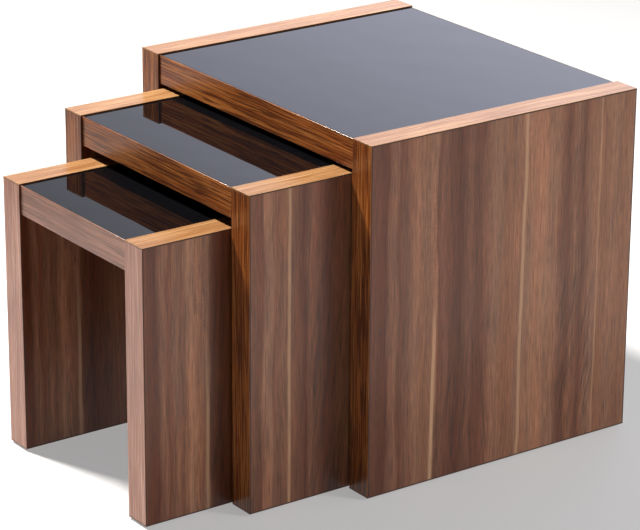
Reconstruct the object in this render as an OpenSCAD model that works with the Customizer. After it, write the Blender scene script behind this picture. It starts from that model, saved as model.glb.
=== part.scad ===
// Nest of three tables. Each table is two side panels with a top between them, open front and back.
// The medium table slides under the large one, and the small table under the medium one.
// Millimetres. +Z up, +Y from the open front to the rear, origin on the floor at the middle of the set.

/* [Large table] */
// Width over the side panels
large_w = 550; // [450:5:700]
// Height from the floor to the side panels' top edges
large_h = 500; // [400:5:640]
// Depth of all three tables, front to rear
table_d = 450; // [370:5:600]

/* [Nesting] */
// Gap between the medium table and each side panel of the large one
medium_side_gap = 6; // [2:0.5:12]
// Gap between the medium table and the underside of the large top
medium_head_gap = 6; // [2:0.5:20]
// Gap between the small table and each side panel of the medium one
small_side_gap = 10; // [7:0.5:16]
// Gap between the small table and the underside of the medium top
small_head_gap = 14; // [2:0.5:30]
// How far the medium table stands out in front of the large one
medium_pull_out = 158; // [0:1:290]
// How far the small table stands out in front of the large one
small_pull_out = 292; // [0:1:360]
// How far the small table stands to the right of the middle
small_shift = 6; // [-6:0.5:6]

/* [Boards] */
// Thickness of a side panel, and of a top with its glass
board_t = 42; // [34:1:52]
// Thickness of the edging strips
edging_t = 2; // [1:0.5:3]
// Drop from the side panels' top edges to the glass
top_recess = 2; // [0:0.5:6]
// Distance from the side panels' front edges back to the top's front edge, the same at the rear
top_setback = 2.5; // [0:0.5:8]
// Gap between the top's edging and each side panel
edging_end_gap = 0.5; // [0:0.1:1.5]

/* [Glass] */
// Thickness of the black glass
glass_t = 4; // [3:0.5:6]
// Gap between the glass and each side panel
glass_side_gap = 1; // [0.5:0.1:3]
// Gap between the glass and the edging, front and rear
glass_edge_gap = 0.3; // [0.1:0.1:1]

/* [Cam fittings] */
// Distance from the top's front or rear edge to the nearest cam fitting
cam_inset = 62; // [40:1:90]
// Diameter of a cam lock
cam_d = 15; // [12:1:18]
// Metal left above the bolt's head in a cam lock
cam_roof = 0.5; // [0.4:0.1:2]
// Distance from the end of the top board to a cam's axis
cam_reach = 24; // [20:1:34]
// Height of a cam bolt above the top's underside
bolt_rise = 8; // [6.5:0.5:10]
// Diameter of a cam bolt's wood thread
bolt_thread_d = 5; // [4:0.5:6]
// Length of a cam bolt's wood thread
bolt_thread_l = 11; // [8:1:16]
// Diameter of a cam bolt's shank and head
bolt_shank_d = 7; // [6:0.5:7]
// Diameter of a cam bolt's neck
bolt_neck_d = 3.6; // [3:0.2:4.4]
// How far a cap reaches past the edge of its cam
cap_overlap = 1.5; // [1:0.5:3]
// Thickness of a cap's disc
cap_t = 1; // [0.6:0.2:1.6]

/* [Dowels] */
// Diameter of a dowel
dowel_d = 8; // [6:1:10]
// Length of a dowel
dowel_l = 35; // [25:1:45]
// How far a dowel goes into the side panel
dowel_in_panel = 14; // [10:1:20]
// Distance from a cam fitting to the dowel beside it
dowel_spacing = 32; // [25:1:45]

/* [Glides] */
// Diameter of a nail-on glide
glide_d = 22; // [16:1:30]
// Thickness of a glide, which is the gap under the panels
glide_t = 3; // [2:0.5:5]
// Distance from a panel's front or rear edge to a glide's middle
glide_inset = 40; // [20:1:80]
// Diameter of a glide's nail
nail_d = 2; // [1.6:0.2:3]
// Length of a glide's nail above its disc
nail_l = 16; // [10:1:20]

/* [Hidden] */
$fn = 48;
// Radial clearance of a dowel, bolt, cam or nail in its bore
fit_gap = 0.05;
// Extra depth of a blind bore beyond the piece in it
bore_spare = 0.5;
// Overrun of a cutting solid past the face that it opens
cut = 1;
// Height of the worn chamfer round a glide's underside
glide_chamfer = 0.8;
// Cross recess in a cam lock: arm length, arm width, and metal left between it and the bolt's head
recess_l = 8;
recess_w = 1.8;
recess_floor = 1.4;
// How much thinner and shorter a cap's cross stub is than the recess
stub_gap = 0.3;
// Part of a cam bolt that its head takes up, and the collar at the panel's face
bolt_head_l = 4;
bolt_collar_l = 3;
// How far a bolt's head reaches past the cam's axis
bolt_overreach = 3;
// Difference between the shank's diameter and the bore it passes through
shank_clearance = 1;

LEFT = -1;
RIGHT = 1;

medium_w = large_w - 2 * (board_t + medium_side_gap);
medium_h = large_h - top_recess - board_t - medium_head_gap;
small_w = medium_w - 2 * (board_t + small_side_gap);
small_h = medium_h - top_recess - board_t - small_head_gap;

// Bore that a bolt's head passes through, in the board and in the cam
head_bore_d = bolt_shank_d + shank_clearance;
cam_h = bolt_rise + head_bore_d / 2 + cam_roof;
recess_depth = bolt_rise - head_bore_d / 2 - recess_floor;

// The large table's front, placed so that the whole set is centred front to rear
large_front = (max(medium_pull_out, small_pull_out) - table_d) / 2;

// One row per table: width, height, place across the set, and pull-out from the large table's front
large = [large_w, large_h, 0, 0];
medium = [medium_w, medium_h, 0, medium_pull_out];
small = [small_w, small_h, small_shift, small_pull_out];

function width(table) = table[0];
function height(table) = table[1];
function inner_width(table) = width(table) - 2 * board_t;
// Middle of a side panel, across the table
function panel_x(table, side) = side * (width(table) - board_t) / 2;
// Inner face of a side panel, where the end of the top board meets it
function joint_x(table, side) = side * inner_width(table) / 2;
// Levels of the glass, of the board that it lies on and of the top's underside
function glass_z(table) = height(table) - top_recess;
function core_z(table) = glass_z(table) - glass_t;
function underside_z(table) = glass_z(table) - board_t;

core_t = board_t - glass_t;
panel_foot = glide_t + edging_t;
top_front = top_setback + edging_t;
top_rear = table_d - top_front;
cam_rows = [top_setback + cam_inset, table_d - top_setback - cam_inset];
dowel_rows = [cam_rows[0] + dowel_spacing, table_d / 2, cam_rows[1] - dowel_spacing];
glide_rows = [glide_inset, table_d - glide_inset];

PANEL_COLOUR = [0.46, 0.36, 0.31];
EDGING_COLOUR = [0.72, 0.46, 0.26];
TOP_BOARD_COLOUR = [0.60, 0.47, 0.34];
GLASS_COLOUR = [0.05, 0.05, 0.06];
ZINC_COLOUR = [0.70, 0.70, 0.72];
BEECH_COLOUR = [0.84, 0.68, 0.48];
PLASTIC_COLOUR = [0.22, 0.14, 0.10];

// ---- Placing ----

// Puts a table, drawn with its front at y = 0 and its middle at x = 0, where it stands in the set
module stand(table) {
    translate([table[2], large_front - table[3], 0])
        children();
}

// A box centred across x, from its lowest corner's y and z
module slab(x, y, z, size) {
    translate([x - size[0] / 2, y, z])
        cube(size);
}

// Repeats a fitting at both joints of a top. Its own +X runs from the panel's face into the top board.
module at_joints(table, rows, z) {
    for (side = [LEFT, RIGHT])
        for (y = rows)
            translate([joint_x(table, side), y, z])
                rotate([0, 0, side == LEFT ? 0 : 180])
                    children();
}

// Repeats a bore in one side panel, with its own +X running from the panel's face into the top board
module at_panel_joint(table, side, rows, z) {
    for (y = rows)
        translate([joint_x(table, side), y, z])
            rotate([0, 0, side == LEFT ? 0 : 180])
                children();
}

// A round bar along +X, from one x to another
module bar(from, to, d) {
    translate([from, 0, 0])
        rotate([0, 90, 0])
            cylinder(d = d, h = to - from);
}

// ---- Boards ----

module side_panel(table, side) {
    color(PANEL_COLOUR)
        difference() {
            slab(panel_x(table, side), edging_t, panel_foot,
                [board_t, table_d - 2 * edging_t, height(table) - edging_t - panel_foot]);
            at_panel_joint(table, side, cam_rows, underside_z(table) + bolt_rise)
                bar(-bolt_thread_l - bore_spare, cut, bolt_thread_d + 2 * fit_gap);
            at_panel_joint(table, side, dowel_rows, underside_z(table) + core_t / 2)
                bar(-dowel_in_panel - bore_spare, cut, dowel_d + 2 * fit_gap);
            nail_bores(table, side, panel_foot);
        }
}

// Bores for the glide nails, from just under a level up past the nails' points
module nail_bores(table, side, level) {
    for (y = glide_rows)
        translate([panel_x(table, side), y, level - cut])
            cylinder(d = nail_d + 2 * fit_gap, h = glide_t + nail_l + bore_spare - level + cut);
}

module top_board(table) {
    color(TOP_BOARD_COLOUR)
        difference() {
            slab(0, top_front, underside_z(table), [inner_width(table), top_rear - top_front, core_t]);
            at_joints(table, cam_rows, underside_z(table)) {
                translate([0, 0, bolt_rise])
                    bar(-cut, cam_reach, head_bore_d);
                translate([cam_reach, 0, -cut])
                    cylinder(d = cam_d + 2 * fit_gap, h = cut + cam_h + 2 * bore_spare);
            }
            at_joints(table, dowel_rows, underside_z(table) + core_t / 2)
                bar(-cut, dowel_l - dowel_in_panel + bore_spare, dowel_d + 2 * fit_gap);
        }
}

module top_glass(table) {
    color(GLASS_COLOUR)
        slab(0, top_front + glass_edge_gap, core_z(table),
            [inner_width(table) - 2 * glass_side_gap, top_rear - top_front - 2 * glass_edge_gap, glass_t]);
}

// ---- Edging ----

// Strip down a panel's front or rear edge, between its top and bottom strips
module upright_edging(table, side, y) {
    color(EDGING_COLOUR)
        slab(panel_x(table, side), y, panel_foot,
            [board_t, edging_t, height(table) - edging_t - panel_foot]);
}

module front_edging(table, side) {
    upright_edging(table, side, 0);
}

module rear_edging(table, side) {
    upright_edging(table, side, table_d - edging_t);
}

// Strips along a panel's top and bottom edges, over the ends of the upright strips
module top_edging(table, side) {
    color(EDGING_COLOUR)
        slab(panel_x(table, side), 0, height(table) - edging_t, [board_t, table_d, edging_t]);
}

module bottom_edging(table, side) {
    color(EDGING_COLOUR)
        difference() {
            slab(panel_x(table, side), 0, glide_t, [board_t, table_d, edging_t]);
            nail_bores(table, side, glide_t);
        }
}

// Strip along the top's front or rear edge, as high as the board and glass together
module top_cross_edging(table, y) {
    color(EDGING_COLOUR)
        slab(0, y, underside_z(table), [inner_width(table) - 2 * edging_end_gap, edging_t, board_t]);
}

module top_front_edging(table) {
    top_cross_edging(table, top_setback);
}

module top_rear_edging(table) {
    top_cross_edging(table, top_rear);
}

// ---- Fittings ----

// Thread in the panel, collar at its face, shank, and a neck and head inside the cam
module cam_bolt() {
    tip = cam_reach + bolt_overreach;
    bar(-bolt_thread_l, 0, bolt_thread_d);
    bar(0, bolt_collar_l, bolt_shank_d);
    bar(bolt_collar_l, cam_reach - cam_d / 2 - bore_spare, bolt_shank_d - shank_clearance);
    bar(cam_reach - cam_d / 2 - bore_spare, tip - bolt_head_l, bolt_neck_d);
    bar(tip - bolt_head_l, tip, bolt_shank_d);
}

module cam_bolts(table) {
    color(ZINC_COLOUR)
        at_joints(table, cam_rows, underside_z(table) + bolt_rise)
            cam_bolt();
}

// A cross of two arms, standing up from z = 0
module cross(l, w, h) {
    for (turn = [0, 90])
        rotate([0, 0, turn])
            slab(0, -w / 2, 0, [l, w, h]);
}

// Turned to its locked position: the slot grips the bolt's neck, and the entry faces away from the bolt
module cam_lock() {
    neck_slot = bolt_neck_d + shank_clearance;
    head_start = bolt_overreach - bolt_head_l - bore_spare;
    difference() {
        cylinder(d = cam_d, h = cam_h);
        translate([0, 0, bolt_rise])
            bar(head_start, cam_d, head_bore_d);
        translate([-cam_d, -neck_slot / 2, bolt_rise - neck_slot / 2])
            cube([cam_d + head_start + cut, neck_slot, neck_slot]);
        translate([0, 0, -cut])
            cross(recess_l, recess_w, cut + recess_depth);
    }
}

module cam_locks(table) {
    color(ZINC_COLOUR)
        at_joints(table, cam_rows, underside_z(table))
            translate([cam_reach, 0, 0])
                cam_lock();
}

// Disc under the board, with a cross stub that presses into the cam
module cam_caps(table) {
    color(PLASTIC_COLOUR)
        at_joints(table, cam_rows, underside_z(table))
            translate([cam_reach, 0, 0]) {
                translate([0, 0, -cap_t])
                    cylinder(d = cam_d + 2 * cap_overlap, h = cap_t);
                cross(recess_l - stub_gap, recess_w - stub_gap, recess_depth - stub_gap);
            }
}

module dowels(table) {
    color(BEECH_COLOUR)
        at_joints(table, dowel_rows, underside_z(table) + core_t / 2)
            bar(-dowel_in_panel, dowel_l - dowel_in_panel, dowel_d);
}

// Disc that the table stands on, with its nail up into the panel
module glide() {
    cylinder(d1 = glide_d - 2 * glide_chamfer, d2 = glide_d, h = glide_chamfer);
    translate([0, 0, glide_chamfer])
        cylinder(d = glide_d, h = glide_t - glide_chamfer);
    cylinder(d = nail_d, h = glide_t + nail_l);
}

module glides(table) {
    color(PLASTIC_COLOUR)
        for (side = [LEFT, RIGHT])
            for (y = glide_rows)
                translate([panel_x(table, side), y, 0])
                    glide();
}

// ---- Large table ----

module large_left_panel() { stand(large) side_panel(large, LEFT); }
module large_left_front_edging() { stand(large) front_edging(large, LEFT); }
module large_left_rear_edging() { stand(large) rear_edging(large, LEFT); }
module large_left_top_edging() { stand(large) top_edging(large, LEFT); }
module large_left_bottom_edging() { stand(large) bottom_edging(large, LEFT); }
module large_right_panel() { stand(large) side_panel(large, RIGHT); }
module large_right_front_edging() { stand(large) front_edging(large, RIGHT); }
module large_right_rear_edging() { stand(large) rear_edging(large, RIGHT); }
module large_right_top_edging() { stand(large) top_edging(large, RIGHT); }
module large_right_bottom_edging() { stand(large) bottom_edging(large, RIGHT); }
module large_top_board() { stand(large) top_board(large); }
module large_top_front_edging() { stand(large) top_front_edging(large); }
module large_top_rear_edging() { stand(large) top_rear_edging(large); }
module large_top_glass() { stand(large) top_glass(large); }
module large_cam_bolts() { stand(large) cam_bolts(large); }
module large_cam_locks() { stand(large) cam_locks(large); }
module large_cam_caps() { stand(large) cam_caps(large); }
module large_dowels() { stand(large) dowels(large); }
module large_glides() { stand(large) glides(large); }

// ---- Medium table ----

module medium_left_panel() { stand(medium) side_panel(medium, LEFT); }
module medium_left_front_edging() { stand(medium) front_edging(medium, LEFT); }
module medium_left_rear_edging() { stand(medium) rear_edging(medium, LEFT); }
module medium_left_top_edging() { stand(medium) top_edging(medium, LEFT); }
module medium_left_bottom_edging() { stand(medium) bottom_edging(medium, LEFT); }
module medium_right_panel() { stand(medium) side_panel(medium, RIGHT); }
module medium_right_front_edging() { stand(medium) front_edging(medium, RIGHT); }
module medium_right_rear_edging() { stand(medium) rear_edging(medium, RIGHT); }
module medium_right_top_edging() { stand(medium) top_edging(medium, RIGHT); }
module medium_right_bottom_edging() { stand(medium) bottom_edging(medium, RIGHT); }
module medium_top_board() { stand(medium) top_board(medium); }
module medium_top_front_edging() { stand(medium) top_front_edging(medium); }
module medium_top_rear_edging() { stand(medium) top_rear_edging(medium); }
module medium_top_glass() { stand(medium) top_glass(medium); }
module medium_cam_bolts() { stand(medium) cam_bolts(medium); }
module medium_cam_locks() { stand(medium) cam_locks(medium); }
module medium_cam_caps() { stand(medium) cam_caps(medium); }
module medium_dowels() { stand(medium) dowels(medium); }
module medium_glides() { stand(medium) glides(medium); }

// ---- Small table ----

module small_left_panel() { stand(small) side_panel(small, LEFT); }
module small_left_front_edging() { stand(small) front_edging(small, LEFT); }
module small_left_rear_edging() { stand(small) rear_edging(small, LEFT); }
module small_left_top_edging() { stand(small) top_edging(small, LEFT); }
module small_left_bottom_edging() { stand(small) bottom_edging(small, LEFT); }
module small_right_panel() { stand(small) side_panel(small, RIGHT); }
module small_right_front_edging() { stand(small) front_edging(small, RIGHT); }
module small_right_rear_edging() { stand(small) rear_edging(small, RIGHT); }
module small_right_top_edging() { stand(small) top_edging(small, RIGHT); }
module small_right_bottom_edging() { stand(small) bottom_edging(small, RIGHT); }
module small_top_board() { stand(small) top_board(small); }
module small_top_front_edging() { stand(small) top_front_edging(small); }
module small_top_rear_edging() { stand(small) top_rear_edging(small); }
module small_top_glass() { stand(small) top_glass(small); }
module small_cam_bolts() { stand(small) cam_bolts(small); }
module small_cam_locks() { stand(small) cam_locks(small); }
module small_cam_caps() { stand(small) cam_caps(small); }
module small_dowels() { stand(small) dowels(small); }
module small_glides() { stand(small) glides(small); }

large_left_panel();
large_left_front_edging();
large_left_rear_edging();
large_left_top_edging();
large_left_bottom_edging();
large_right_panel();
large_right_front_edging();
large_right_rear_edging();
large_right_top_edging();
large_right_bottom_edging();
large_top_board();
large_top_front_edging();
large_top_rear_edging();
large_top_glass();
large_cam_bolts();
large_cam_locks();
large_cam_caps();
large_dowels();
large_glides();
medium_left_panel();
medium_left_front_edging();
medium_left_rear_edging();
medium_left_top_edging();
medium_left_bottom_edging();
medium_right_panel();
medium_right_front_edging();
medium_right_rear_edging();
medium_right_top_edging();
medium_right_bottom_edging();
medium_top_board();
medium_top_front_edging();
medium_top_rear_edging();
medium_top_glass();
medium_cam_bolts();
medium_cam_locks();
medium_cam_caps();
medium_dowels();
medium_glides();
small_left_panel();
small_left_front_edging();
small_left_rear_edging();
small_left_top_edging();
small_left_bottom_edging();
small_right_panel();
small_right_front_edging();
small_right_rear_edging();
small_right_top_edging();
small_right_bottom_edging();
small_top_board();
small_top_front_edging();
small_top_rear_edging();
small_top_glass();
small_cam_bolts();
small_cam_locks();
small_cam_caps();
small_dowels();
small_glides();
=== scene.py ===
import bpy
import math
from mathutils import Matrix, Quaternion, Vector


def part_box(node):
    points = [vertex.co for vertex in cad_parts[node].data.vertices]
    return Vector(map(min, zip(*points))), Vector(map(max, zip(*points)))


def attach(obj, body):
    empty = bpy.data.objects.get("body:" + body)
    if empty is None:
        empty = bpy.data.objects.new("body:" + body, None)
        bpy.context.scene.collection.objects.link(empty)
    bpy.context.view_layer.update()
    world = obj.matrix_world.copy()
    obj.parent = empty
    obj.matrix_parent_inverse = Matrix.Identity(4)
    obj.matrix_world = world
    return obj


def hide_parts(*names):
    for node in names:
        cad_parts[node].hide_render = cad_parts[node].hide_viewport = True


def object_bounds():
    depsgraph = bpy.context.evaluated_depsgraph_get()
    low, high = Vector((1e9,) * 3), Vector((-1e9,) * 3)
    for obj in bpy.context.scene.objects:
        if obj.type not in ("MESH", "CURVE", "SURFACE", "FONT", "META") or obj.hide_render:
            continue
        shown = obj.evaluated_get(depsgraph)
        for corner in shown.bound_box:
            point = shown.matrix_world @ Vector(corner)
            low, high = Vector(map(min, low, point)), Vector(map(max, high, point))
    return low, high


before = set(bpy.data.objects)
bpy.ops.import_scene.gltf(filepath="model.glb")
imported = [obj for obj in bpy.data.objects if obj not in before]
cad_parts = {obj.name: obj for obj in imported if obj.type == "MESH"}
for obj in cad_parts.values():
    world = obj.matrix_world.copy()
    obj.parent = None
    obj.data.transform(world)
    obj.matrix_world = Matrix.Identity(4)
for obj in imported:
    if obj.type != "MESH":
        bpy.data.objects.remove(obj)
cadLow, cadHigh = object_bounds()
print("Frame loaded:", len(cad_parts), "nodes")

tableNames = ("large", "medium", "small")
sideNames = ("left", "right")
mm = 0.001


# Small helpers for building shaders

def addNode(tree, kind, **settings):
    node = tree.nodes.new(kind)
    for key, value in settings.items():
        setattr(node, key, value)
    return node


def feed(tree, socket, value):
    # a socket is linked, anything else becomes the socket's own value
    if isinstance(value, bpy.types.NodeSocket):
        tree.links.new(value, socket)
    else:
        socket.default_value = value


def calc(tree, operation, a, b=0.0, c=0.0, clamp=False):
    node = addNode(tree, "ShaderNodeMath", operation=operation, use_clamp=clamp)
    for socket, value in zip(node.inputs, (a, b, c)):
        feed(tree, socket, value)
    return node.outputs[0]


def smoothStep(tree, value, low, high):
    # 0 below low and 1 above high; the other way round when low is above high
    node = addNode(tree, "ShaderNodeMapRange", interpolation_type="SMOOTHSTEP")
    for name, given in (("Value", value), ("From Min", min(low, high)), ("From Max", max(low, high)),
                        ("To Min", 0.0 if low < high else 1.0), ("To Max", 1.0 if low < high else 0.0)):
        feed(tree, node.inputs[name], given)
    return node.outputs[0]


def bandMask(tree, value, low, high, soft):
    rise = smoothStep(tree, value, low - soft, low + soft)
    fall = smoothStep(tree, value, high + soft, high - soft)
    return calc(tree, "MULTIPLY", rise, fall)


def grainNoise(tree, across, along, perAcross, perAlong, seed, detail=2.0, roughness=0.5, distortion=0.0):
    # noise drawn out along the grain: perAcross and perAlong are features per millimetre
    place = addNode(tree, "ShaderNodeCombineXYZ")
    feed(tree, place.inputs[0], calc(tree, "MULTIPLY", across, perAcross))
    feed(tree, place.inputs[1], calc(tree, "MULTIPLY", along, perAlong))
    feed(tree, place.inputs[2], seed)
    noise = addNode(tree, "ShaderNodeTexNoise")
    for name, given in (("Vector", place.outputs[0]), ("Scale", 1.0), ("Detail", detail),
                        ("Roughness", roughness), ("Distortion", distortion)):
        feed(tree, noise.inputs[name], given)
    return noise.outputs["Fac"]


def layerNoise(tree, across, along, layer, seed=0.0, step=0):
    # a layer is features per millimetre across and along, seed, then detail, roughness and distortion
    perAcross, perAlong, ownSeed, *rest = layer
    return grainNoise(tree, across, along, perAcross, perAlong, seed + ownSeed + step, *rest)


def centred(tree, noise, amount):
    # noise turned into a swing of about plus or minus amount
    return calc(tree, "MULTIPLY", calc(tree, "SUBTRACT", noise, 0.5), 2.0 * amount)


def addUp(tree, values):
    total = values[0]
    for value in values[1:]:
        total = calc(tree, "ADD", total, value)
    return total


def colourRamp(tree, factor, stops):
    node = addNode(tree, "ShaderNodeValToRGB")
    elements = node.color_ramp.elements
    while len(elements) < len(stops):
        elements.new(0.5)
    for element, (position, colour) in zip(elements, stops):
        element.position = position
        element.color = colour
    feed(tree, node.inputs[0], factor)
    return node.outputs[0]


def mixColour(tree, factor, a, b):
    node = addNode(tree, "ShaderNodeMix", data_type="RGBA")
    for identifier, value in (("Factor_Float", factor), ("A_Color", a), ("B_Color", b)):
        socket = next(s for s in node.inputs if s.identifier == identifier)
        feed(tree, socket, value)
    return next(s for s in node.outputs if s.identifier == "Result_Color")


def brighten(tree, colour, factor):
    node = addNode(tree, "ShaderNodeVectorMath", operation="SCALE")
    feed(tree, node.inputs[0], colour)
    feed(tree, node.inputs["Scale"], factor)
    return node.outputs[0]


def brightenBy(tree, colour, factors):
    node = addNode(tree, "ShaderNodeVectorMath", operation="MULTIPLY")
    feed(tree, node.inputs[0], colour)
    node.inputs[1].default_value = factors
    return node.outputs[0]


def linear(rgb, veil=0.0, darkest=0.002):
    # a tone given as 0-255 screen values, with the light that gloss adds taken off
    values = []
    for channel in rgb:
        c = channel / 255
        c = c / 12.92 if c < 0.04045 else ((c + 0.055) / 1.055) ** 2.4
        values.append(max(c - veil, darkest))
    return (*values, 1.0)


def newMaterial(name, **shaderValues):
    material = bpy.data.materials.new(name)
    material.use_nodes = True
    tree = material.node_tree
    shader = tree.nodes["Principled BSDF"]
    for socketName, value in shaderValues.items():
        shader.inputs[socketName.replace("_", " ")].default_value = value
    return material, tree, shader


def addBump(tree, shader, height, distance, strength=1.0):
    bump = addNode(tree, "ShaderNodeBump")
    bump.inputs["Strength"].default_value = strength
    bump.inputs["Distance"].default_value = distance
    feed(tree, bump.inputs["Height"], height)
    feed(tree, shader.inputs["Normal"], bump.outputs[0])


def objectAxes(tree):
    # the object's own x, y and z in millimetres
    coordinates = addNode(tree, "ShaderNodeTexCoord")
    split = addNode(tree, "ShaderNodeSeparateXYZ")
    feed(tree, split.inputs[0], coordinates.outputs["Object"])
    return [calc(tree, "MULTIPLY", axis, 1 / mm) for axis in split.outputs]


def faceNormal(tree):
    # which way the surface looks, as x, y and z
    split = addNode(tree, "ShaderNodeSeparateXYZ")
    feed(tree, split.inputs[0], addNode(tree, "ShaderNodeTexCoord").outputs["Normal"])
    return split.outputs


def setLook(tree, shader, colour, roughness):
    feed(tree, shader.inputs["Base Color"], colour)
    feed(tree, shader.inputs["Roughness"], roughness)


def swung(tree, noise, swing, middle):
    return calc(tree, "ADD", centred(tree, noise, swing), middle)


def lightened(tree, noise, tone, times):
    # from the tone up to that many times the tone
    return mixColour(tree, noise, linear(tone), linear(tuple(c * times for c in tone)))


# Walnut-effect laminate
walnut = {
    "ior": 1.5,
    "veil": 0.045,
    "roughness": 0.33,
    "fibreRoughness": 0.06,
    "poreRoughness": 0.12,
    "bump": (0.03 * mm, 0.6),       # height and strength
    "cool": (0.92, 0.99, 1.04),
    "warm": (1.09, 1.00, 0.94),
    "tones": {
        "plum": (98, 70, 62),
        "umber": (109, 78, 67),
        "brown": (119, 87, 74),
        "fawn": (129, 95, 79),
        "tan": (138, 102, 85),
        "blond": (149, 111, 91),
        "cream": (186, 150, 120),
    },
    # layers as layerNoise takes them
    "noise": {
        "bend": (0.012, 0.006, 0.0, 1.0),
        "drift": (0.045, 0.0070, 0.5),
        "broad": (0.11, 0.0070, 1.0, 3.0),
        "streak": (0.40, 0.011, 2.0, 3.0),
        "fibre": (0.75, 0.040, 3.0, 3.0, 0.6),
        "pores": (1.25, 0.045, 4.0),
        "blush": (0.055, 0.0035, 4.5),
        "flame": (0.24, 0.007, 5.0, 3.0, 0.6, 0.5),
        "fleck": (0.10, 0.42, 8.0, 1.0),
        "wander": (0.001, 0.008, 12.0),
        "patch": (0.2, 0.02, 15.0),
    },
    # how far a layer swings: millimetres for bend and drift, a share for the others
    "swing": {"bend": 5.0, "drift": 9.0, "broad": 0.22, "streak": 0.58, "fibre": 0.85, "blush": 1.6,
              "patch": 0.5},
    # where noise starts and stops counting as a pore, a flame or a fleck
    "poreEdge": (0.58, 0.74),
    "flameEdge": (0.46, 0.62),
    "fleckEdge": (0.48, 0.66),
    "poreDark": 0.16,
    "flameSoft": 7.0,
    "flameLeast": 0.25,
    "fleckSoft": (4.0, 22.0),       # across and along
    "threadSoft": 1.2,
    "patchMean": 0.95,
    # where on the print each face starts, in millimetres; the outer right face starts at 0
    "starts": {"innerRight": 170.0, "innerLeft": 9.0, "outerLeft": 290.0, "topAcross": 60.0,
               "topAlong": 275.0},
}

# One print for each table: staves as (distance from the front edge in mm, tone), then what lies over them
walnutPrints = {
    "large": {
        "width": 450,
        "staves": [
            (0, "umber"), (26, "plum"), (31, "brown"), (42, "fawn"), (50, "umber"), (60, "brown"),
            (78, "tan"), (90, "fawn"), (110, "tan"), (112, "umber"), (122, "brown"), (132, "umber"),
            (150, "plum"), (166, "brown"), (174, "umber"), (186, "umber"), (206, "tan"), (230, "fawn"),
            (257, "tan"), (290, "blond"), (306, "tan"), (318, "tan"), (324, "brown"), (334, "umber"),
            (346, "fawn"), (361, "umber"), (371, "fawn"), (385, "tan"), (398, "fawn"), (416, "tan"),
            (432, "fawn"), (450, "tan"),
        ],
        "threads": [
            {"at": 103.5, "lean": 0.020, "width": 5.5, "strength": 0.80, "wander": 0.8, "fade": (320, 150)},
            {"at": 254, "lean": 0.010, "width": 5.5, "strength": 0.55, "wander": 1.8, "fade": None},
            {"at": 389, "lean": 0.002, "width": 2.5, "strength": 0.36, "wander": 1.0, "fade": None},
        ],
        "flames": [
            {"from": 324, "to": 386, "lean": 0.22, "strength": 0.42, "fade": (330, 120)},
            {"from": 122, "to": 166, "lean": 0.13, "strength": 0.30, "fade": (300, 120)},
            {"from": 166, "to": 204, "lean": -0.12, "strength": 0.30, "fade": (260, 90)},
        ],
        "flecks": [
            {"from": 88, "to": 111, "low": 290, "high": 440, "strength": 0.16},
            {"from": 264, "to": 288, "low": 430, "high": 482, "strength": 0.12},
        ],
        "seed": 3.1,
    },
    "medium": {
        "width": 450,
        "staves": [
            (0, "brown"), (18, "umber"), (24, "tan"), (36, "tan"), (42, "brown"), (60, "fawn"), (68, "brown"),
            (82, "umber"), (88, "plum"), (96, "brown"), (110, "umber"), (120, "plum"), (150, "brown"),
            (158, "fawn"), (176, "tan"), (196, "fawn"), (210, "umber"), (232, "plum"), (250, "umber"),
            (262, "fawn"), (290, "tan"), (300, "brown"), (322, "umber"), (340, "brown"), (352, "fawn"),
            (380, "blond"), (392, "tan"), (400, "brown"), (424, "umber"), (450, "umber"),
        ],
        "threads": [
            {"at": 63, "lean": 0.0, "width": 4.5, "strength": 0.50, "wander": 0.8, "fade": None},
            {"at": 294, "lean": -0.01, "width": 4.0, "strength": 0.40, "wander": 2.0, "fade": (120, 330)},
        ],
        "flames": [
            {"from": 94, "to": 152, "lean": 0.16, "strength": 0.38, "fade": (420, 160)},
            {"from": 214, "to": 252, "lean": -0.15, "strength": 0.30, "fade": (330, 120)},
        ],
        "flecks": [{"from": 168, "to": 196, "low": 220, "high": 400, "strength": 0.12}],
        "seed": 11.7,
    },
    "small": {
        "width": 450,
        "staves": [
            (0, "umber"), (10, "plum"), (20, "plum"), (25, "brown"), (33, "fawn"), (38, "umber"),
            (47, "fawn"), (56, "brown"), (64, "fawn"), (72, "blond"), (80, "tan"), (89, "fawn"), (99, "tan"),
            (104, "umber"), (124, "plum"), (140, "umber"), (156, "brown"), (176, "fawn"), (190, "tan"),
            (214, "fawn"), (226, "umber"), (250, "umber"), (262, "brown"), (290, "tan"), (318, "fawn"),
            (330, "umber"), (352, "plum"), (366, "brown"), (400, "fawn"), (424, "tan"), (450, "umber"),
        ],
        "threads": [
            {"at": 98, "lean": 0.005, "width": 5.0, "strength": 0.55, "wander": 0.8, "fade": (300, 120)},
            {"at": 256, "lean": 0.012, "width": 5.0, "strength": 0.45, "wander": 1.6, "fade": None},
        ],
        "flames": [
            {"from": 104, "to": 146, "lean": 0.10, "strength": 0.30, "fade": (390, 120)},
            {"from": 334, "to": 366, "lean": 0.16, "strength": 0.30, "fade": (300, 120)},
        ],
        "flecks": [{"from": 80, "to": 98, "low": 250, "high": 378, "strength": 0.16}],
        "seed": 23.4,
    },
}

chipboard = {
    "scale": 420.0,
    "tones": [(0.0, (198, 164, 120)), (0.5, (170, 132, 90)), (1.0, (120, 88, 58))],
}


def toneOf(name):
    return linear(walnut["tones"][name], walnut["veil"])


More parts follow.
